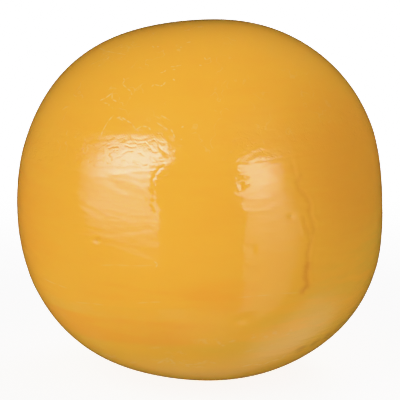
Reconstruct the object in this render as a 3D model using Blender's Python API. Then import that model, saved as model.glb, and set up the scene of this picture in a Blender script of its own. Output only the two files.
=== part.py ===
"""A whole ball of Edam cheese in its yellow wax, standing on the small flat that its own weight has pressed in it.

The ball is turned about Z. Its outline is an ellipse drawn towards a rounded square, and it has sagged, so that
it is widest a little below its middle. A belt left by the press mould stands slightly proud between two seams.
The seams lean, and soft swells make the ball as uneven as one pressed and dipped by hand.
X runs to the right and Z up; the shown side faces -Y. The origin is under the middle, at the resting face.
"""

import math

import bmesh
import bpy
from mathutils import Matrix, Vector, noise

# Driving dimensions, in metres
BELT_RADIUS = 0.0708
HALF_HEIGHT = 0.0688
SAG = 0.00076
REST_CUT = 0.00085

# How square the outline is above and below its widest ring: 2 is an ellipse
CROWN_SQUARENESS = 2.33
BASE_SQUARENESS = 2.25

# The mould's belt: the latitudes of its two seams, how soft and how proud its edges are, and how far it leans
SEAM_LATITUDES = (math.radians(-19.8), math.radians(19.1))
SEAM_SOFTNESS = math.radians(0.7)
BELT_PROUD = 0.00022
SEAM_LEAN = math.radians(3.5)

# Swells seen from the front: how many lobes go round, how high they are, and where the first one lies
SWELLS = (
    (2, 0.00010, math.radians(-90)),
    (3, 0.00038, math.radians(180)),
    (4, 0.00015, math.radians(-90)),
    (7, 0.00019, math.radians(180)),
)

# Hand-sized unevenness all over the skin
DENT_DEPTH = 0.00022
DENTS_PER_RADIUS = 2.1
DENT_SHIFT = Vector((3.7, 1.2, 8.4))

# How finely the ball is faceted
SEGMENTS = 80
RINGS = 40
MERGE_SHARE = 1e-5

WAX_COLOUR = (0.84, 0.41, 0.04, 1.0)
WAX_ROUGHNESS = 0.28


def clear_scene():
    """Removes whatever the scene holds."""
    for obj in list(bpy.data.objects):
        bpy.data.objects.remove(obj)


def ease(value, low, high):
    """Rises smoothly from 0 at low to 1 at high."""
    share = min(1.0, max(0.0, (value - low) / (high - low)))
    return share * share * (3 - 2 * share)


def outline_radius(latitude):
    """How far the skin is from the belt's centre at a latitude, before any unevenness."""
    squareness = CROWN_SQUARENESS if latitude > 0 else BASE_SQUARENESS
    across = abs(math.cos(latitude)) / BELT_RADIUS
    along = abs(math.sin(latitude)) / HALF_HEIGHT
    radius = (across**squareness + along**squareness) ** (-1 / squareness)
    return radius - SAG * math.sin(3 * latitude)


def belt_relief(latitude):
    """The belt stands proud between its two seams."""
    low, high = SEAM_LATITUDES
    above_low = ease(latitude, low - SEAM_SOFTNESS, low + SEAM_SOFTNESS)
    above_high = ease(latitude, high - SEAM_SOFTNESS, high + SEAM_SOFTNESS)
    return BELT_PROUD * (above_low - above_high)


def swell_relief(direction):
    """The lobes that make the front outline lopsided. They fade out towards the front and the back."""
    angle = math.atan2(direction.z, direction.x)
    reach = math.hypot(direction.x, direction.z)
    return sum(height * reach**count * math.cos(count * angle - start) for count, height, start in SWELLS)


def dent_relief(direction):
    """Broad, shallow hollows and rises."""
    return DENT_DEPTH * noise.noise(direction * DENTS_PER_RADIUS + DENT_SHIFT)


def ring_latitudes():
    """Evenly spaced rings from base to crown, with one on each side of each seam."""
    step = math.pi / RINGS
    even = [-math.pi / 2 + step * i for i in range(1, RINGS)]
    clear = [row for row in even if all(abs(row - seam) > step / 2 for seam in SEAM_LATITUDES)]
    edges = [seam + side * SEAM_SOFTNESS for seam in SEAM_LATITUDES for side in (-1, 1)]
    return sorted(clear + edges)


def spin_unit_ball(bm):
    """Turns a half circle of points about Z into a closed ball of radius 1."""
    latitudes = [-math.pi / 2, *ring_latitudes(), math.pi / 2]
    profile = [bm.verts.new((math.cos(lat), 0.0, math.sin(lat))) for lat in latitudes]
    edges = [bm.edges.new(pair) for pair in zip(profile, profile[1:])]
    bmesh.ops.spin(
        bm,
        geom=profile + edges,
        cent=(0, 0, 0),
        axis=(0, 0, 1),
        angle=2 * math.pi,
        steps=SEGMENTS,
    )
    bmesh.ops.remove_doubles(bm, verts=bm.verts[:], dist=MERGE_SHARE)
    bmesh.ops.recalc_face_normals(bm, faces=bm.faces[:])


def press_to_form(bm):
    """Moves each point of the unit ball out to the cheese's skin, with the belt leaning."""
    lean = Matrix.Rotation(-SEAM_LEAN, 3, "Y")
    for vert in bm.verts:
        mould_latitude = math.asin(max(-1.0, min(1.0, vert.co.z)))
        direction = (lean @ vert.co).normalized()
        latitude = math.asin(max(-1.0, min(1.0, direction.z)))
        radius = outline_radius(latitude) + belt_relief(mould_latitude)
        radius += swell_relief(direction) + dent_relief(direction)
        vert.co = direction * radius


def flatten_base(bm):
    """Cuts the lowest part off level, as the cheese's weight has flattened it, and closes the face."""
    lowest = min(vert.co.z for vert in bm.verts)
    geometry = bm.verts[:] + bm.edges[:] + bm.faces[:]
    cut = bmesh.ops.bisect_plane(
        bm,
        geom=geometry,
        dist=BELT_RADIUS * MERGE_SHARE,
        plane_co=(0, 0, lowest + REST_CUT),
        plane_no=(0, 0, 1),
        clear_inner=True,
    )
    rim = [item for item in cut["geom_cut"] if isinstance(item, bmesh.types.BMEdge)]
    bmesh.ops.contextual_create(bm, geom=rim)
    bmesh.ops.recalc_face_normals(bm, faces=bm.faces[:])


def stand_on_origin(bm):
    """Puts the middle of the ball's box over the origin, with the resting face at height 0."""
    low = Vector([min(vert.co[i] for vert in bm.verts) for i in range(3)])
    high = Vector([max(vert.co[i] for vert in bm.verts) for i in range(3)])
    middle = (low + high) / 2
    bmesh.ops.translate(bm, verts=bm.verts[:], vec=(-middle.x, -middle.y, -low.z))


def wax_material():
    """Glossy yellow cheese wax."""
    material = bpy.data.materials.new("yellow_wax")
    material.use_nodes = True
    shader = material.node_tree.nodes["Principled BSDF"]
    shader.inputs["Base Color"].default_value = WAX_COLOUR
    shader.inputs["Roughness"].default_value = WAX_ROUGHNESS
    shader.inputs["Metallic"].default_value = 0.0
    material.diffuse_color = WAX_COLOUR
    return material


def make_cheese_ball():
    """The whole cheese: one solid, with its wax."""
    bm = bmesh.new()
    spin_unit_ball(bm)
    press_to_form(bm)
    flatten_base(bm)
    stand_on_origin(bm)
    mesh = bpy.data.meshes.new("cheese_ball")
    bm.to_mesh(mesh)
    bm.free()
    mesh.shade_smooth()
    mesh.materials.append(wax_material())
    ball = bpy.data.objects.new("cheese_ball", mesh)
    bpy.context.scene.collection.objects.link(ball)
    return ball


def main():
    clear_scene()
    make_cheese_ball()


main()
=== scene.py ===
"""The looks of a whole ball of Edam cheese in glossy yellow wax: its uneven skin, its finish and a plain studio.

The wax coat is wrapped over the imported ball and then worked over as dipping, pressing and handling leave it:
a belt with drag ripples between two creased seams, a crumpled crown, and a few hollows and runs.
"""

import math

import bpy
from mathutils import Matrix, Vector, noise


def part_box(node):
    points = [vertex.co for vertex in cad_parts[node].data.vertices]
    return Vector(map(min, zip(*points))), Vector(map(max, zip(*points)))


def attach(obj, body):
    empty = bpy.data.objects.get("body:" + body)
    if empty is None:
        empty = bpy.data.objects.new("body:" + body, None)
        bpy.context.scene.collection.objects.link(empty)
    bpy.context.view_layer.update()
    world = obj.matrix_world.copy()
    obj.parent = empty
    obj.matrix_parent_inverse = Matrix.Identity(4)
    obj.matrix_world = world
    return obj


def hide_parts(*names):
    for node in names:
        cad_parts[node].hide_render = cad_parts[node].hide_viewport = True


bl_info = {
    "name": "Waxed Cheese Ball",
    "version": (1, 0, 0),
    "blender": (4, 5, 0),
    "location": "3D View > Sidebar > Cheese",
    "description": "Models the wax coat of a cheese ball, gives it its finish and sets up a studio",
    "category": "Object",
}

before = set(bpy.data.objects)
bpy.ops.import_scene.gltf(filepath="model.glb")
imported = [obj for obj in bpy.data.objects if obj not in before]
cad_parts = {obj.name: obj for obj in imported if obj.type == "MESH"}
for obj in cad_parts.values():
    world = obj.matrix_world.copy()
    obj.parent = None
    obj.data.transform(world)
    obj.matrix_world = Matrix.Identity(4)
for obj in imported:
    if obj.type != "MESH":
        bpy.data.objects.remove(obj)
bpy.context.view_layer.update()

# The ball as it was packed, in metres. The belt's centre is where the ball is widest, a little below its middle.
NODE = "cheese_ball"
LOW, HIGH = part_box(NODE)
RADIUS = (HIGH.x - LOW.x) / 2
CENTRE = Vector((0, 0, 0.4895 * HIGH.z))

# The mould's two seams, and how far its belt leans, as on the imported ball
SEAM_LATITUDES = (math.radians(-19.8), math.radians(19.1))
SEAM_LEAN = math.radians(3.5)
UNLEAN = Matrix.Rotation(SEAM_LEAN, 3, "Y")

# Below the base seam and above the crown the rings of the skin lie further apart than between them
FINE_BAND = (math.radians(-36), math.radians(48))
RINGS_IN_BAND = 0.66

# How much closer together the faces lie in front than behind
FRONT_PULL = 0.35

# Where every face is split in four: west and east longitude, low and high latitude in degrees
SHOWN_SKIN = (-42, 37, -19, 33)
FINEST_SKIN = (-31, -8, 13.5, 27)

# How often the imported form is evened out, and what that takes off it
SEAM_SMOOTHING = 120
MAKE_UP = 0.00018
BELT_EDGE = math.radians(0.6)


class WaxCoatSettings(bpy.types.PropertyGroup):
    """How finely the wax coat is made, and how deep its relief is."""

    segments: bpy.props.IntProperty(
        name="Segments", description="Faces round the ball", default=248, min=32, max=252
    )
    rings: bpy.props.IntProperty(
        name="Rings", description="Rings of faces from base to crown", default=232, min=24, max=236
    )
    belt_step: bpy.props.FloatProperty(
        name="Belt step",
        description="How much of the belt's edge the wax has filled",
        default=0.00018,
        unit="LENGTH",
        precision=5,
    )
    crease_depth: bpy.props.FloatProperty(
        name="Seam crease",
        description="How deep the crease along each mould seam is",
        default=0.000012,
        unit="LENGTH",
        precision=5,
    )
    ripple_depth: bpy.props.FloatProperty(
        name="Belt ripples",
        description="How deep the drag ripples on the belt are",
        default=0.00014,
        unit="LENGTH",
        precision=5,
    )
    crumple_depth: bpy.props.FloatProperty(
        name="Crown crumples",
        description="How deep the crumples above the upper seam are",
        default=0.00011,
        unit="LENGTH",
        precision=5,
    )
    ragged_depth: bpy.props.FloatProperty(
        name="Ragged patches",
        description="How deep the small dents in the ragged patches are",
        default=0.00012,
        unit="LENGTH",
        precision=5,
    )
    hollow_depth: bpy.props.FloatProperty(
        name="Hollows",
        description="How deep the single hollows in the wax are",
        default=0.00020,
        unit="LENGTH",
        precision=5,
    )
    groove_depth: bpy.props.FloatProperty(
        name="Grooves",
        description="How deep the deepest drawn groove is",
        default=0.00010,
        unit="LENGTH",
        precision=5,
    )
    fold_height: bpy.props.FloatProperty(
        name="Folds",
        description="How proud the highest drawn fold stands",
        default=0.00010,
        unit="LENGTH",
        precision=5,
    )


class WaxFinishSettings(bpy.types.PropertyGroup):
    """The colours and the gloss of the wax. Some of the colours also paint shade, glints and highlights."""

    golden: bpy.props.FloatVectorProperty(
        name="Golden", description="The wax where it is full", subtype="COLOR", default=(0.86, 0.404, 0.040)
    )
    # Also the colour of the painted shade at the sides
    orange: bpy.props.FloatVectorProperty(
        name="Orange", description="The wax where it is thin", subtype="COLOR", default=(0.86, 0.368, 0.037)
    )
    # Also the colour of the painted shade towards the bottom
    olive: bpy.props.FloatVectorProperty(
        name="Olive", description="The wax where it is cold", subtype="COLOR", default=(0.80, 0.408, 0.042)
    )
    # Also the colour of the painted glints and highlights on the crown and belt
    pale: bpy.props.FloatVectorProperty(
        name="Pale", description="Scuffed, dry wax", subtype="COLOR", default=(0.84, 0.52, 0.16)
    )
    # Also the colour of the painted shade at the bottom and in the hollows
    brown: bpy.props.FloatVectorProperty(
        name="Brown", description="Dirt and bruises in the wax", subtype="COLOR", default=(0.36, 0.15, 0.032)
    )
    # The colour of the painted shade along the crease on the right
    crease_shade_colour: bpy.props.FloatVectorProperty(
        name="Bruised", description="The wax along the crease on the right", subtype="COLOR", default=(0.62, 0.20, 0.02)
    )
    coat_roughness: bpy.props.FloatProperty(
        name="Gloss roughness", description="How blurred reflections are", default=0.09, min=0, max=1
    )
    coat_ior: bpy.props.FloatProperty(
        name="Gloss strength", description="How strongly the surface mirrors", default=1.6, min=1, max=2
    )


class StudioSettings(bpy.types.PropertyGroup):
    """The camera, and how bright the studio is."""

    elevation: bpy.props.FloatProperty(
        name="Elevation",
        description="How far above the ball's level the camera stands",
        subtype="ANGLE",
        default=math.radians(10),
    )
    distance: bpy.props.FloatProperty(
        name="Distance", description="From the belt's centre to the camera", unit="LENGTH", default=0.497
    )
    lens: bpy.props.FloatProperty(
        name="Lens", description="Focal length", default=114.4, unit="CAMERA"
    )
    left_radiance: bpy.props.FloatProperty(
        name="Left softbox", description="Brightest radiance of the left softbox", default=5.9
    )
    right_radiance: bpy.props.FloatProperty(
        name="Right softbox", description="Brightest radiance of the right softbox", default=2.9
    )


# Modelling by hand


def select_only(*objects):
    """Selects these objects alone, with the first one active."""
    bpy.ops.object.select_all(action="DESELECT")
    for obj in objects:
        obj.select_set(True)
    bpy.context.view_layer.objects.active = objects[0]


def apply_modifier(obj, modifier):
    """Makes one modifier's result the object's own mesh."""
    select_only(obj)
    bpy.ops.object.modifier_apply(modifier=modifier.name)


def ease(value, low, high):
    """Rises smoothly from 0 at low to 1 at high."""
    share = min(1.0, max(0.0, (value - low) / (high - low)))
    return share * share * (3 - 2 * share)


def bump(value, middle, width):
    """A bell of height 1 at middle, down to a third at width from it."""
    return math.exp(-(((value - middle) / width) ** 2))


def angles(point):
    """Longitude and latitude of a point about the belt's centre. Longitude is 0 in front and grows to the right."""
    spoke = (point - CENTRE).normalized()
    return math.atan2(spoke.x, -spoke.y), math.asin(max(-1.0, min(1.0, spoke.z)))


def mould_latitude(point):
    """Latitude in the leaning mould, which the seams follow."""
    spoke = UNLEAN @ (point - CENTRE).normalized()
    return math.asin(max(-1.0, min(1.0, spoke.z)))


def weigh(obj, name, rule):
    """Makes a vertex group whose weights are what rule gives for each point."""
    group = obj.vertex_groups.new(name=name)
    for vertex in obj.data.vertices:
        weight = rule(vertex.co)
        if weight > 0.001:
            group.add((vertex.index,), min(1.0, weight), "REPLACE")
    return group


def smooth_ball(belt_step):
    """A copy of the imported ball, merged, with its belt pressed in, and subdivided, for the skin to be wrapped over."""
    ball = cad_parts[NODE].copy()
    ball.data = ball.data.copy()
    ball.name = "smooth_ball"
    ball.parent = None
    bpy.context.scene.collection.objects.link(ball)
    select_only(ball)
    bpy.ops.object.mode_set(mode="EDIT")
    bpy.ops.mesh.select_all(action="SELECT")
    bpy.ops.mesh.remove_doubles(threshold=1e-5)
    bpy.ops.mesh.tris_convert_to_quads()
    bpy.ops.mesh.faces_shade_smooth()
    bpy.ops.object.mode_set(mode="OBJECT")
    press(ball, weigh(ball, "step", step_rule), belt_step)
    soften = ball.modifiers.new("soften", "SUBSURF")
    soften.levels = soften.render_levels = 3
    apply_modifier(ball, soften)
    even = ball.modifiers.new("even", "SMOOTH")
    even.factor = 0.5
    even.iterations = SEAM_SMOOTHING
    apply_modifier(ball, even)
    press(ball, weigh(ball, "swell", above_flat_rule), -MAKE_UP)
    return ball


def ring_latitude(share):
    """Where a ring lies, from its place in the count: closely spaced in the fine band, further apart outside it."""
    low, high = FINE_BAND
    outside = (1 - RINGS_IN_BAND) / (math.pi - (high - low))
    below = outside * (low + math.pi / 2)
    if share < below:
        return -math.pi / 2 + share / outside
    if share > below + RINGS_IN_BAND:
        return math.pi / 2 - (1 - share) / outside
    return low + (share - below) * (high - low) / RINGS_IN_BAND


def ringed_skin(settings):
    """A sphere round the ball whose rings lean as the mould does, with its faces closest where most relief shows."""
    bpy.ops.object.select_all(action="DESELECT")
    bpy.ops.mesh.primitive_uv_sphere_add(
        segments=settings.segments, ring_count=settings.rings, radius=RADIUS * 1.1, location=(0, 0, 0)
    )
    skin = bpy.context.object
    for vertex in skin.data.vertices:
        length = vertex.co.length
        latitude = math.asin(max(-1.0, min(1.0, vertex.co.z / length)))
        placed = ring_latitude(latitude / math.pi + 0.5)
        if math.hypot(vertex.co.x, vertex.co.y) > 1e-7:
            longitude = math.atan2(vertex.co.x, -vertex.co.y)
            longitude -= FRONT_PULL * math.sin(longitude)
            level = length * math.cos(placed)
            vertex.co = Vector((level * math.sin(longitude), -level * math.cos(longitude), length * math.sin(placed)))
    skin.rotation_euler = UNLEAN.inverted().to_euler()
    skin.location = CENTRE
    bpy.ops.object.transform_apply(location=True, rotation=True, scale=True)
    refine(skin, *SHOWN_SKIN)
    refine(skin, *FINEST_SKIN)
    return skin


def refine(skin, west, east, low, high):
    """Splits every face of the skin between two longitudes and two latitudes in four."""
    select_only(skin)
    bpy.ops.object.mode_set(mode="EDIT")
    bpy.ops.mesh.select_mode(type="FACE")
    bpy.ops.mesh.select_all(action="DESELECT")
    bpy.ops.object.mode_set(mode="OBJECT")
    for face in skin.data.polygons:
        longitude, latitude = angles(face.center)
        face.select = west < math.degrees(longitude) < east and low < math.degrees(latitude) < high
    bpy.ops.object.mode_set(mode="EDIT")
    bpy.ops.mesh.subdivide(number_cuts=1)
    bpy.ops.object.mode_set(mode="OBJECT")


def wrap(skin, ball):
    """Shrinks the skin onto the ball, each point along its own spoke."""
    shrink = skin.modifiers.new("wrap", "SHRINKWRAP")
    shrink.target = ball
    shrink.wrap_method = "PROJECT"
    shrink.use_negative_direction = True
    shrink.use_positive_direction = False
    apply_modifier(skin, shrink)


def press(skin, group, depth):
    """Moves the skin in, or out where depth is negative, as far as the group's weights say."""
    push = skin.modifiers.new("press", "DISPLACE")
    push.vertex_group = group.name
    push.direction = "NORMAL"
    push.mid_level = 0.0
    push.strength = -depth
    apply_modifier(skin, push)


def roughen(skin, group, depth, size, turn=0.0, octaves=1):
    """Gives the skin uneven relief. Size is how long the waves are along X, Y and Z, before a turn about Y."""
    texture = bpy.data.textures.new("relief", "CLOUDS")
    texture.noise_scale = 1.0
    texture.noise_depth = octaves
    gauge = bpy.data.objects.new("gauge", None)
    bpy.context.scene.collection.objects.link(gauge)
    gauge.location = CENTRE
    gauge.scale = size
    gauge.rotation_euler = (0, turn, 0)
    bpy.context.view_layer.update()
    relief = skin.modifiers.new("relief", "DISPLACE")
    relief.texture = texture
    relief.texture_coords = "OBJECT"
    relief.texture_coords_object = gauge
    relief.vertex_group = group.name
    relief.mid_level = 0.5
    relief.strength = depth
    apply_modifier(skin, relief)
    bpy.data.objects.remove(gauge)


# Where the wax has a hollow: longitude and latitude in degrees, half width and half height in metres
HOLLOWS = (
    (11.4, 13.8, 0.0008, 0.0009),
    (14.5, -4.0, 0.0016, 0.0022),
    (15.5, -10.5, 0.0022, 0.0016),
    (12.5, -25.0, 0.0020, 0.0016),
    (-30.3, -2.7, 0.0011, 0.0010),
    (26.0, 4.5, 0.0012, 0.0010),
)

# Where small dents crowd together: longitude and latitude in degrees, half width and half height in metres
RAGGED_PATCHES = (
    (-10.5, 22.5, 0.0026, 0.0030),
    (-12.0, 16.0, 0.0011, 0.0024),
    (-12.6, 6.0, 0.0013, 0.0080),
    (10.2, 15.5, 0.0026, 0.0060),
    (11.6, 5.0, 0.0018, 0.0060),
    (12.0, -8.0, 0.0016, 0.0080),
    (17.0, 22.5, 0.0110, 0.0026),
)

# Lines drawn in the wax: their share of the full depth or height, half width in metres, and the points that they
# run through as longitude and latitude in degrees
GROOVES = (
    (0.25, 0.00070, ((-37.0, 24.6), (-35.3, 25.1), (-31.0, 25.6))),
    (0.30, 0.00055, ((-29.5, 25.6), (-26.0, 26.2), (-22.5, 25.9))),
    (0.25, 0.00060, ((-21.0, 26.5), (-18.6, 26.3), (-16.5, 26.4))),
    (0.30, 0.00050, ((-16.2, 25.7), (-13.4, 25.9), (-10.4, 25.3))),
    (0.25, 0.00045, ((-31.6, 23.7), (-28.4, 24.3), (-25.6, 24.4))),
    (0.25, 0.00045, ((-22.4, 24.9), (-20.0, 25.2), (-17.8, 25.0))),
    (0.55, 0.00033, ((-23.4, 21.8), (-21.9, 22.6), (-20.0, 22.8))),
    (0.5, 0.00028, ((-18.4, 22.5), (-17.4, 22.4), (-16.5, 21.7))),
    (0.5, 0.00028, ((-23.0, 19.9), (-22.1, 19.8), (-21.3, 19.3))),
    (0.6, 0.00031, ((-19.7, 20.1), (-17.8, 19.6), (-16.6, 18.8), (-15.4, 19.1))),
    (0.5, 0.00028, ((-28.9, 22.0), (-27.8, 21.4), (-27.9, 20.4), (-26.6, 20.3))),
    (0.5, 0.00028, ((-25.5, 20.5), (-24.0, 21.3))),
    (0.5, 0.00028, ((-15.1, 23.8), (-13.8, 22.9), (-12.3, 22.7))),
    (0.5, 0.00028, ((-13.6, 21.2), (-11.8, 20.0), (-10.1, 20.3))),
    (0.5, 0.00027, ((-16.6, 25.4), (-15.2, 24.3), (-13.3, 23.2))),
    (0.6, 0.00027, ((-28.1, 23.2), (-26.8, 23.9), (-25.0, 23.6))),
    (0.5, 0.00027, ((-12.1, 24.3), (-10.6, 22.8), (-9.5, 22.2))),
    (0.5, 0.00027, ((-31.6, 19.9), (-30.5, 19.9), (-29.4, 19.3))),
    (0.6, 0.00027, ((-22.6, 24.3), (-20.6, 23.9), (-19.4, 24.2))),
    (0.28, 0.00042, ((-10.0, 19.5), (-11.7, 17.9), (-12.8, 16.7), (-13.4, 15.1), (-12.9, 13.4))),
    (0.22, 0.00030, ((-9.2, 17.2), (-10.4, 16.4), (-11.4, 15.0))),
    (0.55, 0.00045, ((-13.1, 12.1), (-12.8, 10.2), (-13.2, 8.3), (-12.4, 6.7), (-12.7, 4.2))),
    (0.5, 0.0010, ((-24.0, 12.8), (-20.5, 11.6), (-17.0, 11.2), (-14.5, 10.4))),
    (0.4, 0.0008, ((-34.0, 0.6), (-27.0, -0.7), (-20.0, 0.2), (-14.0, 1.6))),
    (0.9, 0.00075, ((30.0, 15.5), (28.5, 13.7), (28.9, 11.7), (31.2, 9.6), (32.4, 7.3), (31.9, 4.8), (33.3, 1.8))),
    (1.0, 0.00080, ((33.3, 1.8), (33.6, -0.5), (32.6, -3.2), (31.6, -6.0), (31.8, -9.4), (31.4, -12.6), (32.6, -16.0))),
    (0.9, 0.00080, ((32.6, -16.0), (31.8, -17.4), (29.4, -18.0), (27.0, -18.1))),
    (0.8, 0.00055, ((29.9, 3.9), (30.8, 0.9), (31.8, -1.4), (32.6, -3.2))),
    (0.5, 0.00055, ((27.5, 19.6), (28.1, 16.2), (28.5, 13.7))),
    (0.40, 0.00055, ((9.4, 19.3), (12.0, 20.1), (15.5, 21.5), (19.0, 22.6), (22.5, 21.9))),
    (0.3, 0.00045, ((10.8, 15.6), (12.0, 14.9), (12.3, 13.6), (11.2, 12.7))),
)
FOLDS = (
    (0.38, 0.00050, ((9.0, 20.1), (11.4, 21.1), (14.5, 22.7), (17.8, 23.9), (20.8, 22.8))),
    (0.25, 0.00050, ((19.6, 22.2), (22.4, 22.6), (25.0, 21.4))),
    (0.30, 0.00040, ((12.0, 22.4), (14.8, 23.9), (17.6, 24.9))),
    (0.35, 0.00045, ((10.2, 19.2), (12.6, 20.3), (15.4, 20.6))),
    (0.30, 0.00045, ((14.9, 21.4), (18.0, 21.6), (20.8, 20.7))),
    (0.35, 0.00080, ((19.3, 29.5), (23.9, 28.7), (27.4, 25.7), (28.7, 22.3), (29.0, 18.1), (29.9, 14.4))),
    (0.7, 0.00065, ((33.0, 9.1), (33.7, 6.2), (33.5, 4.4), (35.3, 1.8), (34.9, 0.2), (33.8, -1.6), (33.4, -4.8))),
    (0.6, 0.00065, ((33.4, -4.8), (32.9, -7.9), (33.1, -11.4), (34.2, -15.0))),
    (0.5, 0.00055, ((29.2, 2.6), (30.1, -0.6), (31.0, -2.8))),
    (0.6, 0.00028, ((-32.3, 26.6), (-31.8, 28.6), (-30.9, 30.5), (-29.7, 32.3))),
    (0.6, 0.00030, ((-28.5, 32.2), (-27.0, 31.4), (-25.1, 31.9), (-22.9, 30.6), (-20.1, 28.9), (-18.1, 29.2))),
    (0.7, 0.00030, ((-12.3, 31.2), (-10.1, 29.2), (-8.2, 27.6), (-7.6, 26.2))),
    (0.5, 0.00028, ((-13.9, 33.4), (-11.8, 32.9), (-9.8, 31.6))),
    (0.3, 0.00036, ((-16.8, 26.0), (-14.0, 23.9), (-11.0, 22.0))),
    (0.22, 0.00030, ((-11.6, 16.7), (-9.8, 16.2), (-8.6, 17.4))),
)
LINE_WANDER = 0.00045
LINE_WAVES = 620

# How deep the ripples on the right of the belt are, as a share of those on its left
RIGHT_RIPPLES = 0.85


def above_flat_rule(point):
    return ease(point.z, 0.0, 0.0012)


def step_rule(point):
    latitude = mould_latitude(point)
    low, high = SEAM_LATITUDES
    above_low = ease(latitude, low - BELT_EDGE, low + BELT_EDGE)
    return above_low * (1 - ease(latitude, high - BELT_EDGE, high + BELT_EDGE))


def crease_rule(point):
    latitude = mould_latitude(point)
    return sum(bump(latitude, seam, math.radians(0.62)) for seam in SEAM_LATITUDES)


def belt_rule(point):
    latitude = mould_latitude(point)
    return ease(latitude, math.radians(-34), math.radians(-22)) * (
        1 - ease(latitude, math.radians(17.5), math.radians(19))
    )


def left_belt_rule(point):
    return belt_rule(point) * (1 - ease(angles(point)[0], math.radians(-12), math.radians(4)))


def right_belt_rule(point):
    return belt_rule(point) * ease(angles(point)[0], math.radians(-12), math.radians(4))


def crown_rule(point):
    latitude = mould_latitude(point)
    return ease(latitude, math.radians(19.2), math.radians(21)) * (
        1 - 0.85 * ease(latitude, math.radians(27), math.radians(35))
    )


def ovals_rule(ovals):
    """Makes a rule that is 1 in the middle of each oval and fades out round it."""

    def rule(point):
        longitude, latitude = angles(point)
        weight = 0.0
        for east, north, half_width, half_height in ovals:
            across = (longitude - math.radians(east)) * math.cos(latitude) * RADIUS
            along = (latitude - math.radians(north)) * RADIUS
            weight += math.exp(-((across / half_width) ** 2) - (along / half_height) ** 2)
        return weight

    return rule


def lines_rule(lines):
    """Makes a rule that is each line's share along it, fading out to both sides, with the lines wandering a little."""
    pieces = [
        (share, half_width, Vector(start), Vector(end))
        for share, half_width, points in lines
        for start, end in zip(points, points[1:])
    ]

    def rule(point):
        shifted = point + noise.noise_vector(point * LINE_WAVES) * LINE_WANDER
        longitude, latitude = angles(shifted)
        here = Vector((math.degrees(longitude), math.degrees(latitude)))
        scale = Vector((math.cos(latitude), 1)) * math.radians(RADIUS)
        weight = 0.0
        for share, half_width, start, end in pieces:
            if abs(here.y - start.y) > 9 or abs(here.x - start.x) > 12:
                continue
            along, spoke = (end - start) * scale, (here - start) * scale
            part = max(0.0, min(1.0, spoke.dot(along) / along.length_squared))
            weight = max(weight, share * bump((spoke - along * part).length, 0, half_width))
        return weight

    return rule


def mark_crease_shade(skin):
    """Stores how strongly shade is painted along the crease on the right, for the finish to read."""
    crease_shade = skin.data.attributes.new(CREASE_SHADE_NAME, "FLOAT", "POINT")
    rule = lines_rule(SHADED_CREASE_LINES)
    crease_shade.data.foreach_set("value", [rule(vertex.co) for vertex in skin.data.vertices])


# Where shade is painted along the crease on the right, darker and redder, drawn as the grooves are
CREASE_SHADE_NAME = "crease_shade"
SHADED_CREASE_LINES = (
    (0.35, 0.0008, ((28.9, 11.7), (31.2, 9.6), (32.4, 7.3), (31.9, 4.8), (33.3, 1.8), (33.6, -0.5), (32.6, -3.2))),
    (0.55, 0.0009, ((32.6, -3.2), (31.6, -6.0), (31.8, -9.4))),
    (1.0, 0.0012, ((31.8, -9.4), (31.4, -12.6), (32.4, -16.0), (31.0, -17.4))),
    (0.4, 0.0006, ((29.9, 3.9), (30.8, 0.9), (31.8, -1.4))),
    (0.4, 0.0009, ((30.0, 15.5), (28.5, 13.7), (28.9, 11.7))),
)


class CHEESE_OT_wax_coat(bpy.types.Operator):
    """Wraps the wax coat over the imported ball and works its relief"""

    bl_idname = "cheese.wax_coat"
    bl_label = "Wax coat"

    def execute(self, context):
        settings = context.scene.cheese_coat
        ball = smooth_ball(settings.belt_step)
        skin = ringed_skin(settings)
        wrap(skin, ball)
        bpy.data.objects.remove(ball)
        press(skin, weigh(skin, "crease", crease_rule), settings.crease_depth)
        left, right = weigh(skin, "left_belt", left_belt_rule), weigh(skin, "right_belt", right_belt_rule)
        roughen(skin, left, settings.ripple_depth, (0.0085, 0.0085, 0.0032), turn=math.radians(7))
        roughen(skin, right, RIGHT_RIPPLES * settings.ripple_depth, (0.0075, 0.0075, 0.0030), turn=math.radians(-4))
        crown = weigh(skin, "crown", crown_rule)
        roughen(skin, crown, settings.crumple_depth, (0.0052, 0.0052, 0.0032), octaves=2)
        ragged = weigh(skin, "ragged", ovals_rule(RAGGED_PATCHES))
        roughen(skin, ragged, settings.ragged_depth, (0.0015, 0.0015, 0.0013), octaves=1)
        press(skin, weigh(skin, "hollows", ovals_rule(HOLLOWS)), settings.hollow_depth)
        press(skin, weigh(skin, "grooves", lines_rule(GROOVES)), settings.groove_depth)
        press(skin, weigh(skin, "folds", lines_rule(FOLDS)), -settings.fold_height)
        mark_crease_shade(skin)
        skin.vertex_groups.clear()
        skin.name = skin.data.name = "wax_coat"
        skin.data.materials.clear()
        skin.data.materials.append(wax_finish(context.scene.cheese_finish))
        select_only(skin)
        bpy.ops.object.shade_smooth()
        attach(skin, "root")
        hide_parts(NODE)
        return {"FINISHED"}


# The wax's finish


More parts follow.
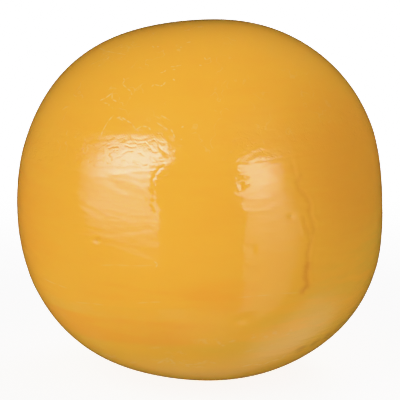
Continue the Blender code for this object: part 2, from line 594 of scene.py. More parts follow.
class Bench:
    """Adds and links the nodes of one node tree."""

    def __init__(self, tree):
        self.tree = tree
        tree.nodes.clear()

    def add(self, kind, inputs=None, **settings):
        node = self.tree.nodes.new(kind)
        for name, value in settings.items():
            setattr(node, name, value)
        for name, value in (inputs or {}).items():
            self.feed(node.inputs[name], value)
        return node

    def feed(self, socket, value):
        if isinstance(value, bpy.types.NodeSocket):
            self.tree.links.new(value, socket)
        else:
            socket.default_value = value

    def sum(self, *values):
        return self.maths("ADD", *values)

    def times(self, *values):
        return self.maths("MULTIPLY", *values)

    def maths(self, operation, *values):
        """One operation on numbers or sockets, taken in turn."""
        total = values[0]
        for value in values[1:] or (None,):
            node = self.add("ShaderNodeMath", operation=operation)
            self.feed(node.inputs[0], total)
            if value is not None:
                self.feed(node.inputs[1], value)
            total = node.outputs[0]
        return total

    def rise(self, value, low, high, bottom=0.0, top=1.0):
        """Goes smoothly from bottom, at low, to top, at high."""
        node = self.add(
            "ShaderNodeMapRange",
            {"Value": value, "From Min": low, "From Max": high, "To Min": bottom, "To Max": top},
            interpolation_type="SMOOTHSTEP",
        )
        return node.outputs["Result"]

    def within(self, value):
        """Keeps a share between 0 and 1."""
        return self.maths("MINIMUM", self.maths("MAXIMUM", value, 0.0), 1.0)

    def noise(self, place, scale, detail=2.0, roughness=0.5, distortion=0.0):
        node = self.add(
            "ShaderNodeTexNoise",
            {"Vector": place, "Scale": scale, "Detail": detail, "Roughness": roughness, "Distortion": distortion},
        )
        return node.outputs["Fac"]

    def curve(self, value, stops):
        """Follows straight lines from stop to stop, each a pair of shares."""
        node = self.add("ShaderNodeFloatCurve", {"Value": value})
        trace_curve(node.mapping.curves[0], stops)
        node.mapping.update()
        return node.outputs["Value"]

    def stretch(self, place, amounts, turn=(0, 0, 0), shift=(0, 0, 0)):
        node = self.add(
            "ShaderNodeMapping", {"Vector": place, "Scale": amounts, "Rotation": turn, "Location": shift}
        )
        return node.outputs["Vector"]

    def blend(self, share, first, second):
        """A colour between two, by share."""
        node = self.add("ShaderNodeMix", data_type="RGBA")
        self.feed(node.inputs["Factor"], share)
        self.feed(node.inputs["A"], opaque(first))
        self.feed(node.inputs["B"], opaque(second))
        return node.outputs["Result"]


def opaque(colour):
    """A colour with its alpha, unless it is a socket or has one."""
    if isinstance(colour, bpy.types.NodeSocket):
        return colour
    return (*colour, 1.0) if len(colour) == 3 else colour


class SkinPlaces:
    """Where a point of the wax lies, for its finish to follow."""

    def __init__(self, bench):
        self.bench = bench
        coordinates = bench.add("ShaderNodeTexCoord").outputs["Object"]
        self.centred = bench.stretch(coordinates, (1, 1, 1), shift=tuple(-CENTRE))
        self.spoke = bench.add("ShaderNodeVectorMath", {0: self.centred}, operation="NORMALIZE").outputs["Vector"]
        self.longitude, self.latitude = self.read_angles(self.spoke)
        self.mould_latitude = self.read_angles(bench.stretch(self.spoke, (1, 1, 1), turn=(0, SEAM_LEAN, 0)))[1]

    def read_angles(self, spoke):
        bench = self.bench
        parts = bench.add("ShaderNodeSeparateXYZ", {"Vector": spoke}).outputs
        longitude = bench.maths("ARCTAN2", parts["X"], bench.times(parts["Y"], -1.0))
        return longitude, bench.maths("ARCSINE", parts["Z"])

    def band(self, low, high, soft_low, soft_high):
        """1 between two latitudes of the mould, in degrees, fading over so many degrees below and above them."""
        bench = self.bench
        rising = bench.rise(self.mould_latitude, math.radians(low - soft_low), math.radians(low))
        falling = bench.rise(self.mould_latitude, math.radians(high), math.radians(high + soft_high), 1.0, 0.0)
        return bench.times(rising, falling)

    def sector(self, west, east, soft):
        """1 between two longitudes, in degrees, fading over soft degrees outside them."""
        bench = self.bench
        rising = bench.rise(self.longitude, math.radians(west - soft), math.radians(west))
        falling = bench.rise(self.longitude, math.radians(east), math.radians(east + soft), 1.0, 0.0)
        return bench.times(rising, falling)

    def patch(self, east, north, half_width, half_height, turn=0.0, core=0.0):
        """A soft oval on the skin: where it is in degrees, its size in metres, its turn in degrees."""
        bench = self.bench
        east, north = math.radians(east), math.radians(north)
        outward = Vector((math.sin(east) * math.cos(north), -math.cos(east) * math.cos(north), math.sin(north)))
        side = Vector((math.cos(east), math.sin(east), 0))
        upward = outward.cross(side) * -1
        axes = Matrix((side, outward, upward)).transposed()
        axes = axes @ Matrix.Rotation(math.radians(turn), 3, "Y")
        near = bench.add(
            "ShaderNodeMapping",
            {
                "Vector": self.centred,
                "Location": tuple(outward * RADIUS),
                "Rotation": tuple(axes.to_euler()),
                "Scale": (half_width, half_width, half_height),
            },
            vector_type="TEXTURE",
        ).outputs["Vector"]
        reach = bench.add("ShaderNodeVectorMath", {0: near}, operation="LENGTH").outputs["Value"]
        return bench.rise(reach, core, 1.0, 1.0, 0.0)

    def strokes(self, lines, half_width):
        """Each line's share along it, tapering between its points, which are longitude and latitude in degrees.
        A stroke's place hangs on the stroke before by a hair, so that the renderer works them out one at a time."""
        bench = self.bench
        total = 0.0
        hair = (STROKE_HAIR, STROKE_HAIR, STROKE_HAIR)
        for share, points in lines:
            spokes = [towards(*point) for point in points]
            for start, end in zip(spokes, spokes[1:]):
                outward, side = ((start + end) / 2).normalized(), (end - start).normalized()
                axes = Matrix((side, outward, side.cross(outward))).transposed()
                place = bench.add("ShaderNodeVectorMath", {0: hair, 2: self.spoke}, operation="MULTIPLY_ADD")
                bench.feed(place.inputs[1], total if isinstance(total, bpy.types.NodeSocket) else (0, 0, 0))
                near = bench.add(
                    "ShaderNodeMapping",
                    {
                        "Vector": place.outputs["Vector"],
                        "Location": tuple(outward),
                        "Rotation": tuple(axes.to_euler()),
                        "Scale": (STROKE_OVERLAP * (end - start).length, 1, half_width / RADIUS),
                    },
                    vector_type="TEXTURE",
                ).outputs["Vector"]
                reach = bench.add("ShaderNodeVectorMath", {0: near}, operation="LENGTH").outputs["Value"]
                total = bench.maths("MAXIMUM", total, bench.rise(reach, 0.2, 1.0, share, 0.0))
        return total


# How far a stroke reaches from its middle, as a share of its length, and how little the ones before it shift it
STROKE_OVERLAP = 0.62
STROKE_HAIR = 1e-6

# Pale strokes in the wax. On the crown they are painted glints, where its wrinkles catch the light, on pale scratched
# wax;
# along the belt they are painted highlights, mostly on the lower seam; on the base they are scuffs. Each has its share,
# and the points that it runs through as longitude and latitude in degrees
CROWN_GLINT_STROKES = (
    (0.9, ((-37.2, 36.9), (-35.2, 37.7), (-33.2, 39.5))),
    (0.6, ((-33.2, 39.5), (-32.1, 37.5), (-29.5, 36.8))),
    (0.5, ((-35.3, 36.3), (-33.0, 36.1), (-32.2, 35.4))),
    (0.5, ((-31.6, 44.8), (-30.3, 44.1), (-30.5, 42.7), (-27.7, 41.3), (-25.7, 40.4), (-24.6, 39.1))),
    (0.4, ((-30.4, 44.3), (-28.6, 45.0))),
    (0.6, ((-18.1, 42.1), (-17.3, 42.9), (-14.8, 42.4))),
    (1.0, ((-14.8, 42.4), (-13.8, 42.6), (-13.0, 43.9))),
    (0.8, ((-16.2, 47.0), (-14.9, 47.4), (-14.0, 48.1))),
    (0.6, ((-12.7, 49.4), (-10.6, 49.6), (-7.7, 50.1))),
    (0.5, ((-11.4, 48.3), (-10.0, 48.4))),
    (0.9, ((-10.5, 44.9), (-9.5, 44.3))),
    (0.9, ((-27.6, 59.0), (-25.4, 58.2))),
    (0.8, ((-24.3, 58.7), (-22.8, 58.5))),
    (0.8, ((-7.9, 60.9), (-5.2, 61.3))),
    (0.5, ((-10.8, 58.1), (-9.5, 58.4))),
    (0.45, ((-73.6, 56.2), (-56.1, 55.1), (-46.6, 54.7), (-38.7, 54.2))),
    (0.6, ((1.9, 53.3), (2.7, 52.1), (5.0, 53.1))),
    (0.6, ((-0.5, 50.1), (0.8, 49.8))),
    (0.7, ((-32.1, 26.3), (-31.8, 27.9), (-30.7, 30.8), (-29.3, 32.7))),
    (0.9, ((-27.9, 31.9), (-26.4, 32.3), (-24.1, 31.4), (-21.9, 30.5), (-20.2, 28.8))),
    (0.8, ((-20.2, 28.8), (-18.4, 29.9), (-16.2, 29.7), (-15.3, 28.8))),
    (0.7, ((-27.6, 32.2), (-25.2, 31.2))),
    (0.6, ((-12.7, 33.2), (-9.4, 31.7))),
    (0.6, ((-13.8, 31.1), (-11.5, 29.9), (-9.7, 29.0))),
    (1.0, ((-9.0, 29.3), (-8.2, 28.1), (-7.5, 26.7))),
    (0.9, ((-5.8, 29.8), (-5.0, 30.1))),
    (0.9, ((-5.8, 26.3), (-5.3, 26.5))),
)
# Painted highlights along the belt, mostly on the lower seam where it catches the light
BELT_HIGHLIGHT_STROKES = (
    (0.35, ((-29.6, -9.8), (-24.4, -9.1), (-19.3, -8.9), (-12.7, -8.3))),
    (0.8, ((-12.8, -7.2), (-11.7, -7.9), (-12.3, -8.9))),
    (0.45, ((-57.2, -18.3), (-48.7, -18.6), (-43.9, -18.9))),
    (0.35, ((-42.1, -22.9), (-34.7, -22.1), (-29.8, -21.9))),
    (0.4, ((-18.7, -20.0), (-14.8, -19.4), (-11.1, -19.1))),
    (0.35, ((10.6, -17.6), (15.6, -17.4), (20.8, -17.4))),
    (0.3, ((23.3, -17.2), (30.1, -17.8))),
)
BASE_STROKES = (
    (0.7, ((5.5, -32.3), (7.0, -34.0), (8.3, -34.5))),
    (0.8, ((9.3, -33.0), (12.0, -32.1))),
    (0.5, ((15.2, -37.9), (19.0, -36.7))),
    (0.6, ((-1.1, -43.3), (0.8, -42.4), (3.1, -41.2))),
    (0.7, ((17.2, -46.2), (21.7, -45.0))),
    (0.6, ((21.7, -45.0), (27.1, -46.6), (29.7, -44.4), (34.0, -44.5), (35.2, -41.5))),
    (0.6, ((-32.1, -47.7), (-26.6, -45.3))),
    (0.8, ((-17.4, -44.8), (-13.6, -41.9), (-11.4, -40.5), (-9.8, -44.5))),
    (0.5, ((-3.2, -44.0), (3.5, -42.2), (6.4, -43.2))),
    (0.4, ((-18.8, -36.7), (-12.2, -35.3))),
    (0.4, ((-48.1, -42.4), (-44.4, -43.3))),
)
# A brown streak on the lower right, drawn the same way
BROWN_STREAK_STROKES = (
    (0.7, ((38.0, -41.2), (45.0, -39.8), (51.6, -38.8), (57.0, -37.0))),
    (0.4, ((57.0, -37.0), (61.5, -33.4), (66.0, -31.9), (70.5, -30.5))),
)


def wax_colour(bench, places, settings):
    """Golden wax, more orange where it is thin, olive where it is cold, with level strokes and pale scuffs. It also
    paints
    shade and light: more orange at the shaded sides, olive and browner towards the bottom, darker in hollows and along
    the crease on the right, all painted shade, and pale strokes on the crown and belt that are painted glints and
    highlights.
    """
    level = bench.stretch(places.centred, (1, 1, 6), turn=(0, SEAM_LEAN, 0))
    patches = bench.noise(places.centred, 24.0, detail=2.0)
    strokes = bench.noise(level, 34.0, detail=4.0, roughness=0.6, distortion=0.3)
    broken = bench.rise(bench.noise(level, 22.0, detail=3.0, roughness=0.6), 0.36, 0.60)
    daubs = bench.times(
        places.band(-23.4, -21.2, 1.4, 0.9),
        places.sector(-50, -10, 10),
        bench.rise(bench.noise(places.centred, 90.0, detail=3.0), 0.36, 0.62),
    )
    orange_and_side_shade = bench.sum(
        bench.times(daubs, -0.5),
        # More orange at both sides, where the ball turns from the light: painted shade
        bench.times(places.patch(-74, -2, 0.044, 0.042), 1.5),
        bench.times(places.patch(56, 19, 0.050, 0.040), 1.3),
        bench.times(places.patch(88, 14, 0.036, 0.050), 0.5),
        bench.times(places.band(-17.6, -15.6, 1.2, 3.4), places.sector(-26, 10, 16), broken, 0.7),
        bench.times(places.band(-32.0, -25.6, 4.0, 2.4), places.sector(-60, -10, 18), bench.sum(broken, 0.35), 1.1),
        bench.times(places.patch(6, -18, 0.018, 0.010, 0, 0.2), 0.8),
    )
    mottle = bench.sum(bench.rise(patches, 0.38, 0.64, -0.12, 0.14), bench.rise(strokes, 0.3, 0.7, -0.24, 0.24))
    golden = bench.blend(bench.within(bench.sum(orange_and_side_shade, mottle)), settings.golden, settings.orange)
    slant = bench.stretch(places.centred, (1, 1, 7), turn=(0, math.radians(26), 0))
    slanted = bench.rise(bench.noise(slant, 30.0, detail=4.0, roughness=0.62), 0.36, 0.60)
    olive_and_bottom_shade = bench.sum(
        bench.times(places.band(-23.6, -20.8, 1.4, 0.9), places.sector(-80, -10, 18), broken, 0.35),
        bench.times(places.patch(50, -22, 0.062, 0.024, 26), slanted, 1.7),
        bench.times(places.patch(78, -8, 0.030, 0.030), slanted, 0.5),
        # Olive towards the bottom: painted shade
        bench.times(places.band(-60, -36, 4, 4), 0.55),
        bench.times(places.patch(24, -34, 0.034, 0.010, 8), slanted, 0.8),
    )
    streaked = bench.times(olive_and_bottom_shade, bench.rise(strokes, 0.35, 0.62, 0.45, 1.2))
    olive = bench.blend(bench.within(streaked), golden, settings.olive)
    scuff_noise = bench.noise(bench.stretch(places.centred, (1, 1, 2.2)), 330.0, detail=5.0, roughness=0.72)
    scuff_gaps = bench.rise(bench.noise(places.centred, 60.0, detail=2.0), 0.46, 0.60)
    scuff_area = bench.sum(
        bench.times(places.band(-45.0, -42.0, 2.0, 1.5), places.sector(-45, 10, 10), 1.0),
        bench.times(places.band(-33.4, -31.8, 0.8, 0.8), places.sector(2, 30, 6), 0.9),
        bench.times(places.band(-39.0, -37.0, 1.0, 1.0), places.sector(-8, 26, 6), 0.8),
    )
    scuffs = bench.times(scuff_area, scuff_gaps, bench.rise(scuff_noise, 0.50, 0.60))
    flecked = bench.rise(bench.noise(places.centred, 620.0, detail=2.0), 0.36, 0.52, 0.4, 1.0)
    # Painted glints on the crown's wrinkles, on pale scratched wax
    crown_glints = bench.times(places.strokes(CROWN_GLINT_STROKES, 0.00036), flecked, 1.3)
    base_strokes = bench.times(places.strokes(BASE_STROKES, 0.00075), flecked, 0.55)
    # Painted highlights along the belt, mostly on the lower seam
    belt_highlights = bench.times(places.strokes(BELT_HIGHLIGHT_STROKES, 0.00036), 0.9)
    # All the pale strokes: painted glints and highlights on the crown and belt, scuffs on the base
    glints_and_scuffs = bench.sum(bench.times(scratches_and_glints(bench, places), 0.35), crown_glints, belt_highlights, base_strokes)
    pale_share = bench.within(bench.sum(bench.times(scuffs, 0.35), bench.times(daubs, 0.10), glints_and_scuffs))
    paled = bench.blend(pale_share, olive, settings.pale)
    ragged = bench.rise(bench.noise(slant, 120.0, detail=4.0, roughness=0.65), 0.30, 0.54, 0.2, 1.0)
    crease_shade = bench.add("ShaderNodeAttribute", attribute_name=CREASE_SHADE_NAME).outputs["Fac"]
    # Brown: painted shade at the bottom near the floor and in the hollows and a dent, a brown streak on the lower
    # right, and brown at the top of the crown
    brown_and_painted_shade = bench.sum(
        bench.times(places.strokes(BROWN_STREAK_STROKES, 0.0036), ragged, 0.5),
        # Painted shade at the bottom, near the floor
        bench.times(places.band(-80, -52, 1, 6), 0.10),
        # Painted shade in two hollows and a small dent
        bench.times(places.patch(-30.3, -2.7, 0.0012, 0.0010), 0.22),
        bench.times(places.patch(25.9, 4.6, 0.0007, 0.0006), 0.25),
        bench.times(places.patch(17.1, 12.9, 0.0006, 0.0006), 0.20),
        bench.times(places.patch(0, 86, 0.036, 0.016), ragged, 0.2),
    )
    browned_and_shaded = bench.blend(bench.within(brown_and_painted_shade), paled, settings.brown)
    # Darker and redder along the crease on the right: painted shade
    return bench.blend(bench.within(bench.times(crease_shade, 0.5)), browned_and_shaded, settings.crease_shade_colour)


def scratches_and_glints(bench, places):
    """1 along thin, broken, zigzag lines, scattered over the crown and mostly its left. In the colour they are painted
    glints, in the relief scratches.
    """
    wander = bench.noise(places.centred, 125.0, detail=2.0, roughness=0.6)
    line = bench.rise(bench.maths("ABSOLUTE", bench.sum(wander, -0.5)), 0.0, 0.019, 1.0, 0.0)
    sparse = bench.rise(bench.noise(places.centred, 88.0, detail=1.0), 0.53, 0.60)
    broken = bench.rise(bench.noise(places.centred, 420.0, detail=1.0), 0.38, 0.55, 0.25, 1.0)
    left = bench.rise(places.longitude, math.radians(-10), math.radians(25), 1.0, 0.45)
    return bench.times(line, sparse, broken, left, places.band(24, 75, 3, 4))


def wax_relief(bench, places):
    """Heights in millimetres too fine for the mesh: weave, drag lines, creases, orange peel and scratches."""
    belt = places.band(-32, 18.4, 6, 1)
    crown = places.band(20.0, 27, 1.2, 6)
    around = bench.stretch(places.centred, (1, 1, 5), turn=(0, SEAM_LEAN, 0))
    drags = bench.noise(around, 78.0, detail=2.0, roughness=0.5, distortion=0.8)
    peel = bench.noise(places.centred, 420.0, detail=3.0, roughness=0.6)
    hatch_count, hatch_rows = 430, 430
    slanted = bench.sum(bench.times(places.longitude, hatch_count), bench.times(places.latitude, -hatch_rows))
    crossed = bench.sum(bench.times(places.longitude, hatch_count), bench.times(places.latitude, hatch_rows))
    sway = bench.times(bench.noise(places.centred, 90.0, detail=2.0), 14.0)
    hatch = bench.sum(
        bench.maths("SINE", bench.sum(slanted, sway)),
        bench.times(bench.maths("SINE", bench.sum(crossed, sway)), 0.5),
    )
    hatch_area = bench.rise(bench.noise(places.centred, 80.0, detail=1.0), 0.42, 0.58)
    crumple = bench.noise(bench.stretch(places.centred, (1, 1, 1.7)), 420.0, detail=3.0, roughness=0.6, distortion=0.6)
    vein_place = bench.stretch(places.centred, (1, 1, 1.9), turn=(0, math.radians(-14), 0))
    vein_noise = bench.noise(vein_place, 240.0, detail=2.0, distortion=0.5)
    vein = bench.rise(bench.maths("ABSOLUTE", bench.sum(vein_noise, -0.5)), 0.0, 0.05, 1.0, 0.0)
    vein_area = bench.rise(bench.noise(places.centred, 260.0, detail=1.0), 0.52, 0.62)
    cracks = bench.noise(bench.stretch(places.centred, (1.6, 1.6, 1)), 300.0, detail=3.0, roughness=0.6)
    crease_shade = bench.add("ShaderNodeAttribute", attribute_name=CREASE_SHADE_NAME).outputs["Fac"]
    slant = bench.stretch(places.centred, (1, 1, 7), turn=(0, math.radians(26), 0))
    streaks = bench.noise(slant, 90.0, detail=4.0, roughness=0.65)
    return bench.sum(
        bench.times(drags, belt, 0.045),
        bench.times(peel, 0.016),
        bench.times(hatch, crown, hatch_area, 0.0065),
        bench.times(crumple, crown, 0.078),
        bench.times(vein, vein_area, crown, -0.034),
        bench.times(scratches_and_glints(bench, places), 0.030),
        bench.times(cracks, crease_shade, 0.16),
        bench.times(streaks, places.patch(50, -32, 0.060, 0.024, 24), 0.30),
    )


def wax_finish(settings):
    """The whole finish: colour, fine relief, a soft body and a glossy coat."""
    material = bpy.data.materials.new("yellow_wax")
    material.use_nodes = True
    bench = Bench(material.node_tree)
    places = SkinPlaces(bench)
    relief = bench.add(
        "ShaderNodeBump", {"Strength": 1.0, "Distance": 0.001, "Height": wax_relief(bench, places)}
    ).outputs["Normal"]
    shader = bench.add(
        "ShaderNodeBsdfPrincipled",
        {
            "Base Color": wax_colour(bench, places, settings),
            "Roughness": 0.5,
            "Specular IOR Level": 0.0,
            "Subsurface Weight": 0.12,
            "Subsurface Radius": (1.0, 0.4, 0.12),
            "Subsurface Scale": 0.004,
            "Coat Weight": 1.0,
            "Coat Roughness": settings.coat_roughness,
            "Coat IOR": settings.coat_ior,
            "Normal": relief,
            "Coat Normal": relief,
        },
    )
    bench.add("ShaderNodeOutputMaterial", {"Surface": shader.outputs["BSDF"]})
    return material


# The studio

STAND_OFF = 1.0
LAYER_GAP = 0.004


def towards(azimuth, elevation=0.0):
    """The direction from the ball at an azimuth, 0 in front and growing to the right, and an elevation, in degrees."""
    azimuth, elevation = math.radians(azimuth), math.radians(elevation)
    return Vector(
        (math.sin(azimuth) * math.cos(elevation), -math.cos(azimuth) * math.cos(elevation), math.sin(elevation))
    )


def area_light(name, place, aim, width, height, radiance, gloss=True):
    """A rectangular lamp facing aim, as bright as its radiance says."""
    data = bpy.data.lights.new(name, "AREA")
    data.shape = "RECTANGLE"
    data.size = width
    data.size_y = height
    data.energy = radiance * math.pi * width * height
    lamp = bpy.data.objects.new(name, data)
    bpy.context.scene.collection.objects.link(lamp)
    lamp.location = place
    lamp.rotation_euler = (aim - place).to_track_quat("-Z", "Y").to_euler()
    lamp.visible_camera = False
    lamp.visible_glossy = gloss
    return lamp


def shape_glow(lamp, across, along, west, east):
    """Makes the lamp's brightness follow lists of (place, brightness), across from its west to its east edge and up
    its height. The edges are lists of (height, place)."""
    data = lamp.data
    data.use_nodes = True
    bench = Bench(data.node_tree)
    spread = bench.add("ShaderNodeSeparateXYZ", {"Vector": bench.add("ShaderNodeNewGeometry").outputs["Parametric"]})
    start = bench.curve(spread.outputs["Y"], west)
    width = bench.maths("SUBTRACT", bench.curve(spread.outputs["Y"], east), start)
    share = bench.maths("DIVIDE", bench.maths("SUBTRACT", spread.outputs["X"], start), width)
    inside = bench.times(bench.rise(share, 0.0, EDGE_BLUR), bench.rise(share, 1 - EDGE_BLUR, 1.0, 1.0, 0.0))
    total = bench.times(inside, bench.curve(share, across), bench.curve(spread.outputs["Y"], along))
    glow = bench.add("ShaderNodeEmission", {"Strength": total})
    bench.add("ShaderNodeOutputLight", {"Surface": glow.outputs["Emission"]})


def trace_curve(curve, stops):
    """Runs a curve straight from stop to stop."""
    points = curve.points
    while len(points) < len(stops):
        points.new(0.5, 0.5)
    for point, stop in zip(points, stops):
        point.location = stop
        point.handle_type = "VECTOR"


def gloss_panel(panel, layer, radiance, tint):
    """A panel that only the gloss shows, square to one azimuth. Each layer stands a little behind the one before."""
    name, azimuth, span, rise, share, across, along, west, east = panel
    side = Vector((math.cos(math.radians(azimuth)), math.sin(math.radians(azimuth)), 0))
    place = towards(azimuth) * (STAND_OFF + layer * LAYER_GAP) + side * (span[0] + span[1]) / 2
    place.z = CENTRE.z + (rise[0] + rise[1]) / 2
    lamp = area_light(name, place, place - towards(azimuth), span[1] - span[0], rise[1] - rise[0], radiance * share)
    lamp.data.color = tint
    lamp.visible_diffuse = False
    shape_glow(lamp, across, stops(along, *rise), edge_stops(west, span, rise), edge_stops(east, span, rise))


def pale_panel(name, azimuth, elevation, size, radiance):
    """A soft-edged panel that only the gloss shows, facing the ball."""
    place = CENTRE + towards(azimuth, elevation) * STAND_OFF
    lamp = area_light(name, place, CENTRE, *size, radiance)
    lamp.visible_diffuse = False
    shape_glow(lamp, SOFT_EDGED, SOFT_EDGED, ((0.0, 0.0), (1.0, 0.0)), ((0.0, 1.0), (1.0, 1.0)))


def edge_stops(edge, span, rise):
    """The part of an edge between a panel's foot and top, as shares of the panel's height and width."""
    low, high = rise
    inner = [(height, place) for height, place in edge if low < height < high]
    cut = [(low, place_at(edge, low)), *inner, (high, place_at(edge, high))]
    return [((height - low) / (high - low), (place - span[0]) / (span[1] - span[0])) for height, place in cut]


def place_at(edge, height):
    """Where an edge runs at a height."""
    for (below, start), (above, end) in zip(edge, edge[1:]):
        if below <= height <= above:
            return start + (end - start) * (height - below) / (above - below)
    return edge[0][1] if height < edge[0][0] else edge[-1][1]


def stops(values, low, high):
    """Turns (place, brightness) pairs into shares of the way from low to high."""
    return [((place - low) / (high - low), brightness) for place, brightness in values]


# The panels that the gloss mirrors, a metre off: azimuth, sides, foot and top, share of their softbox's radiance,
# how bright they are from west edge to east edge and from foot to top, and where those edges run, by height
EDGE_BLUR = 0.02
LEFT_EAST_EDGE = (
    (-0.42, 0.05),
    (-0.19, 0.045),
    (-0.085, 0.08),
    (-0.04, 0.085),
    (0.05, 0.05),
    (0.13, -0.02),
    (0.21, -0.045),
    (0.26, -0.05),
    (0.33, 0.0),
    (0.40, 0.08),
    (0.46, 0.135),
    (0.55, 0.125),
    (0.64, 0.11),
    (0.69, 0.08),
    (0.715, 0.0),
    (0.735, -0.20),
    (0.765, -0.55),
    (0.79, -0.95),
)
LEFT_PANELS = (
    (
        "left_core",
        -27,
        (-1.15, 0.16),
        (0.00, 0.79),
        1.0,
        ((0.0, 0.0), (0.12, 0.10), (0.28, 0.36), (0.38, 0.62), (0.52, 0.90), (0.66, 1.0), (1.0, 1.0)),
        (
            (0.00, 0.0),
            (0.10, 0.05),
            (0.172, 0.18),
            (0.246, 0.50),
            (0.314, 0.80),
            (0.384, 1.0),
            (0.68, 1.0),
            (0.72, 0.6),
            (0.76, 0.15),
            (0.79, 0.0),
        ),
        ((0.0, -1.14), (0.79, -1.14)),
        LEFT_EAST_EDGE,
    ),
    (
        "left_skirt",
        -27,
        (-1.62, 0.16),
        (-0.24, 0.79),
        0.385,
        ((0.0, 0.1), (0.10, 0.45), (0.22, 0.8), (0.4, 1.0), (1.0, 1.0)),
        (
            (-0.24, 0.25),
            (-0.18, 0.38),
            (-0.12, 0.42),
            (-0.07, 0.6),
            (-0.03, 1.0),
            (0.03, 0.95),
            (0.09, 0.65),
            (0.15, 0.65),
            (0.25, 0.8),
            (0.60, 0.8),
            (0.70, 0.6),
            (0.79, 0.05),
        ),
        ((-0.24, -0.95), (-0.10, -1.13), (0.05, -1.22), (0.30, -1.35), (0.50, -1.50), (0.65, -1.45), (0.79, -1.25)),
        LEFT_EAST_EDGE,
    ),
    (
        "left_foot",
        -27,
        (-0.62, 0.10),
        (-0.42, -0.24),
        0.06,
        ((0.0, 0.0), (0.3, 0.6), (0.6, 1.0), (1.0, 1.0)),
        ((-0.42, 0.7), (-0.385, 0.7), (-0.36, 0.2), (-0.31, 0.5), (-0.24, 1.0)),
        ((-0.42, -0.60), (-0.24, -0.60)),
        LEFT_EAST_EDGE,
    ),
)
RIGHT_WEST_EDGE = (
    (-0.95, -0.05),
    (-0.40, -0.05),
    (-0.30, -0.06),
    (-0.20, -0.09),
    (-0.10, -0.085),
    (-0.03, -0.05),
    (0.03, -0.10),
    (0.10, -0.11),
    (0.13, -0.18),
    (0.185, -0.19),
    (0.205, -0.05),
    (0.28, -0.035),
    (0.31, -0.12),
    (0.41, -0.13),
)
RIGHT_PANELS = (
    (
        "right_core",
        30,
        (-0.20, 0.44),
        (-0.02, 0.41),
        1.0,
        ((0.0, 1.0), (0.46, 1.0), (0.60, 0.65), (0.77, 0.3), (1.0, 0.0)),
        ((-0.02, 0.0), (0.05, 0.18), (0.125, 0.52), (0.21, 0.87), (0.30, 1.0), (0.39, 1.0), (0.41, 0.9)),
        RIGHT_WEST_EDGE,
        ((-0.02, 0.43), (0.41, 0.43)),
    ),
    (
        "right_skirt",
        30,
        (-0.20, 0.66),
        (-0.30, 0.41),
        0.47,
        ((0.0, 0.8), (0.25, 1.0), (0.6, 0.9), (0.85, 0.5), (1.0, 0.0)),
        ((-0.30, 0.4), (-0.20, 0.6), (-0.10, 0.7), (-0.05, 0.85), (0.0, 0.85), (0.10, 1.0), (0.41, 1.0)),
        RIGHT_WEST_EDGE,
        ((-0.30, 0.64), (-0.10, 0.62), (0.0, 0.52), (0.10, 0.46), (0.41, 0.42)),
    ),
    (
        "right_foot",
        30,
        (-0.20, 0.66),
        (-1.45, -0.30),
        0.165,
        ((0.0, 0.9), (0.5, 1.0), (0.8, 0.7), (1.0, 0.0)),
        ((-1.45, 0.4), (-1.30, 0.9), (-0.60, 0.9), (-0.30, 1.0)),
        RIGHT_WEST_EDGE,
        ((-1.45, 0.50), (-1.0, 0.62), (-0.30, 0.64)),
    ),
    (
        "right_folds",
        30,
        (-0.20, 0.60),
        (0.43, 0.66),
        0.12,
        ((0.0, 0.6), (0.3, 1.0), (0.7, 0.8), (1.0, 0.0)),
        ((0.43, 0.2), (0.47, 1.0), (0.55, 0.9), (0.66, 0.0)),
        ((0.43, -0.16), (0.52, -0.10), (0.66, 0.05)),
        ((0.43, 0.58), (0.66, 0.50)),
    ),
)
LEFT_TINT = (0.80, 0.70, 1.0)
RIGHT_TINT = (1.0, 0.86, 1.0)

# The pale sweep that the lower right mirrors: where it is in degrees, its size in metres and its radiance
SWEEP_AZIMUTH = 104
SWEEP_ELEVATION = -54
SWEEP_SIZE = (0.85, 0.80)
SWEEP_RADIANCE = 0.56
SOFT_EDGED = ((0.0, 0.0), (0.22, 0.75), (0.5, 1.0), (0.78, 0.75), (1.0, 0.0))

# The table's edge that the base mirrors: where it is in degrees, its size in metres and its radiance
TABLE_AZIMUTH = 150
TABLE_ELEVATION = -66
TABLE_SIZE = (1.3, 0.75)
TABLE_RADIANCE = 0.15

# Soft lamps that light the wax's body and don't show in its gloss: azimuth, elevation, radiance
SOFT_LAMPS = (
    ("left_key", -45, 10, 6.6),
    ("left_high_key", -45, 40, 4.6),
    ("front_high_key", 0, 40, 1.0),
    ("right_key", 45, 10, 4.2),
    ("right_high_key", 45, 40, 3.2),
    ("left_side", -120, 10, 1.5),
    ("left_low_side", -95, -40, 1.5),
    ("right_low_side", 95, -40, 2.5),
    ("bounce", 0, -65, 4.9),
    ("left_bounce", -65, -65, 1.1),
    ("left_rim", -150, 0, 6.0),
    ("left_low_rim", -140, -40, 6.0),
    ("right_low_rim", 140, -35, 4.6),
    ("right_rim", 150, 0, 6.0),
    ("right_high_rim", 150, 40, 6.0),
    ("back_key", 180, 40, 0.9),
)
SOFT_LAMP_SIZE = 0.5


def light_studio(settings):
    """Two softboxes and a pale sweep that the gloss mirrors, and soft lamps that light the wax's body."""
    for layer, panel in enumerate(LEFT_PANELS):
        gloss_panel(panel, layer, settings.left_radiance, LEFT_TINT)
    for layer, panel in enumerate(RIGHT_PANELS):
        gloss_panel(panel, layer, settings.right_radiance, RIGHT_TINT)
    pale_panel("sweep", SWEEP_AZIMUTH, SWEEP_ELEVATION, SWEEP_SIZE, SWEEP_RADIANCE)
    pale_panel("table", TABLE_AZIMUTH, TABLE_ELEVATION, TABLE_SIZE, TABLE_RADIANCE)
    for name, azimuth, elevation, radiance in SOFT_LAMPS:
        place = CENTRE + towards(azimuth, elevation) * STAND_OFF
        area_light(name, place, CENTRE, SOFT_LAMP_SIZE, SOFT_LAMP_SIZE, radiance, gloss=False)


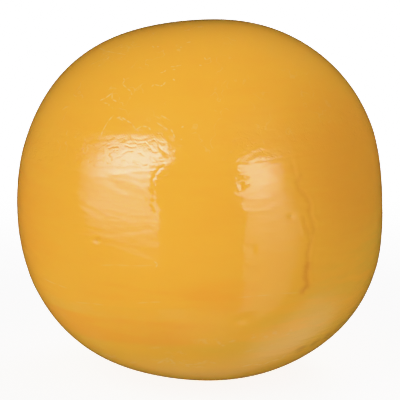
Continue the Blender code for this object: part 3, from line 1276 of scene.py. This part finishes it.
def surround_world():
    """White behind the ball, and next to nothing of it in what lights the ball."""
    world = bpy.data.worlds.new("studio")
    bpy.context.scene.world = world
    world.use_nodes = True
    bench = Bench(world.node_tree)
    ray = bench.add("ShaderNodeLightPath").outputs
    white = bench.sum(bench.times(ray["Is Camera Ray"], 2.5), 0.004)
    backdrop = bench.add("ShaderNodeBackground", {"Color": (1, 1, 1, 1), "Strength": white})
    bench.add("ShaderNodeOutputWorld", {"Surface": backdrop.outputs["Background"]})


FLOOR_HALF = 1.6
FLOOR_FADE = (0.16, 0.45)


def lay_floor():
    """A pale floor that fades into the white behind it."""
    bpy.ops.object.select_all(action="DESELECT")
    bpy.ops.mesh.primitive_plane_add(size=2 * FLOOR_HALF, location=(0, 0, 0))
    floor = bpy.context.object
    floor.name = "floor"
    material = bpy.data.materials.new("pale_floor")
    material.use_nodes = True
    bench = Bench(material.node_tree)
    place = bench.add("ShaderNodeTexCoord").outputs["Object"]
    reach = bench.add("ShaderNodeVectorMath", {0: place}, operation="LENGTH").outputs["Value"]
    paint = bench.add("ShaderNodeBsdfDiffuse", {"Color": (0.9, 0.9, 0.9, 1)})
    glow = bench.add("ShaderNodeEmission", {"Strength": 0.9})
    lit = bench.add("ShaderNodeAddShader")
    bench.feed(lit.inputs[0], paint.outputs["BSDF"])
    bench.feed(lit.inputs[1], glow.outputs["Emission"])
    clear = bench.add("ShaderNodeBsdfTransparent")
    fade = bench.add("ShaderNodeMixShader", {"Fac": bench.rise(reach, *FLOOR_FADE)})
    bench.feed(fade.inputs[1], lit.outputs["Shader"])
    bench.feed(fade.inputs[2], clear.outputs["BSDF"])
    bench.add("ShaderNodeOutputMaterial", {"Surface": fade.outputs["Shader"]})
    floor.data.materials.append(material)
    floor.visible_diffuse = False
    floor.visible_glossy = False
    floor.visible_shadow = False


AIM_RIGHT = 0.0
AIM_UP = 0.0


def place_camera(settings):
    """Puts the camera where the photograph was taken from."""
    data = bpy.data.cameras.new("camera")
    data.lens = settings.lens
    data.sensor_width = 36.0
    data.clip_start = 0.01
    camera = bpy.data.objects.new("camera", data)
    bpy.context.scene.collection.objects.link(camera)
    back = towards(0, math.degrees(settings.elevation))
    camera.location = CENTRE + back * settings.distance
    aim = CENTRE + Vector((AIM_RIGHT, 0, AIM_UP))
    camera.rotation_euler = (aim - camera.location).to_track_quat("-Z", "Y").to_euler()
    bpy.context.scene.camera = camera


TONE_RANGE = 2.5
TONE_STOPS = (
    (0.0, 0.0),
    (0.6, 0.6),
    (0.8, 0.775),
    (0.9, 0.847),
    (1.0, 0.885),
    (1.23, 0.912),
    (1.6, 0.95),
    (2.5, 1.0),
)


def soften_highlights():
    """Rolls the brightest tones off gently, as the photograph does."""
    view = bpy.context.scene.view_settings
    view.view_transform = "Standard"
    view.use_curve_mapping = True
    mapping = view.curve_mapping
    mapping.white_level = (TONE_RANGE, TONE_RANGE, TONE_RANGE)
    trace_curve(mapping.curves[3], stops(TONE_STOPS, 0.0, TONE_RANGE))
    mapping.update()


class CHEESE_OT_studio(bpy.types.Operator):
    """Sets up the floor, the light and the camera"""

    bl_idname = "cheese.studio"
    bl_label = "Studio"

    def execute(self, context):
        settings = context.scene.cheese_studio
        lay_floor()
        surround_world()
        light_studio(settings)
        place_camera(settings)
        soften_highlights()
        return {"FINISHED"}


class CHEESE_PT_sidebar(bpy.types.Panel):
    """Lists the pieces and their settings."""

    bl_idname = "CHEESE_PT_sidebar"
    bl_label = "Waxed cheese ball"
    bl_space_type = "VIEW_3D"
    bl_region_type = "UI"
    bl_category = "Cheese"

    def draw(self, context):
        layout = self.layout
        scene = context.scene
        for settings, operators in (
            (scene.cheese_coat, (CHEESE_OT_wax_coat,)),
            (scene.cheese_finish, ()),
            (scene.cheese_studio, (CHEESE_OT_studio,)),
        ):
            box = layout.box()
            for name in settings.__annotations__:
                box.prop(settings, name)
            for operator in operators:
                box.operator(operator.bl_idname)


CLASSES = (
    WaxCoatSettings,
    WaxFinishSettings,
    StudioSettings,
    CHEESE_OT_wax_coat,
    CHEESE_OT_studio,
    CHEESE_PT_sidebar,
)


def register():
    for cls in CLASSES:
        bpy.utils.register_class(cls)
    bpy.types.Scene.cheese_coat = bpy.props.PointerProperty(type=WaxCoatSettings)
    bpy.types.Scene.cheese_finish = bpy.props.PointerProperty(type=WaxFinishSettings)
    bpy.types.Scene.cheese_studio = bpy.props.PointerProperty(type=StudioSettings)


def unregister():
    del bpy.types.Scene.cheese_studio
    del bpy.types.Scene.cheese_finish
    del bpy.types.Scene.cheese_coat
    for cls in reversed(CLASSES):
        bpy.utils.unregister_class(cls)


def main():
    register()
    bpy.ops.cheese.wax_coat()
    bpy.ops.cheese.studio()


if __name__ == "__main__":
    main()
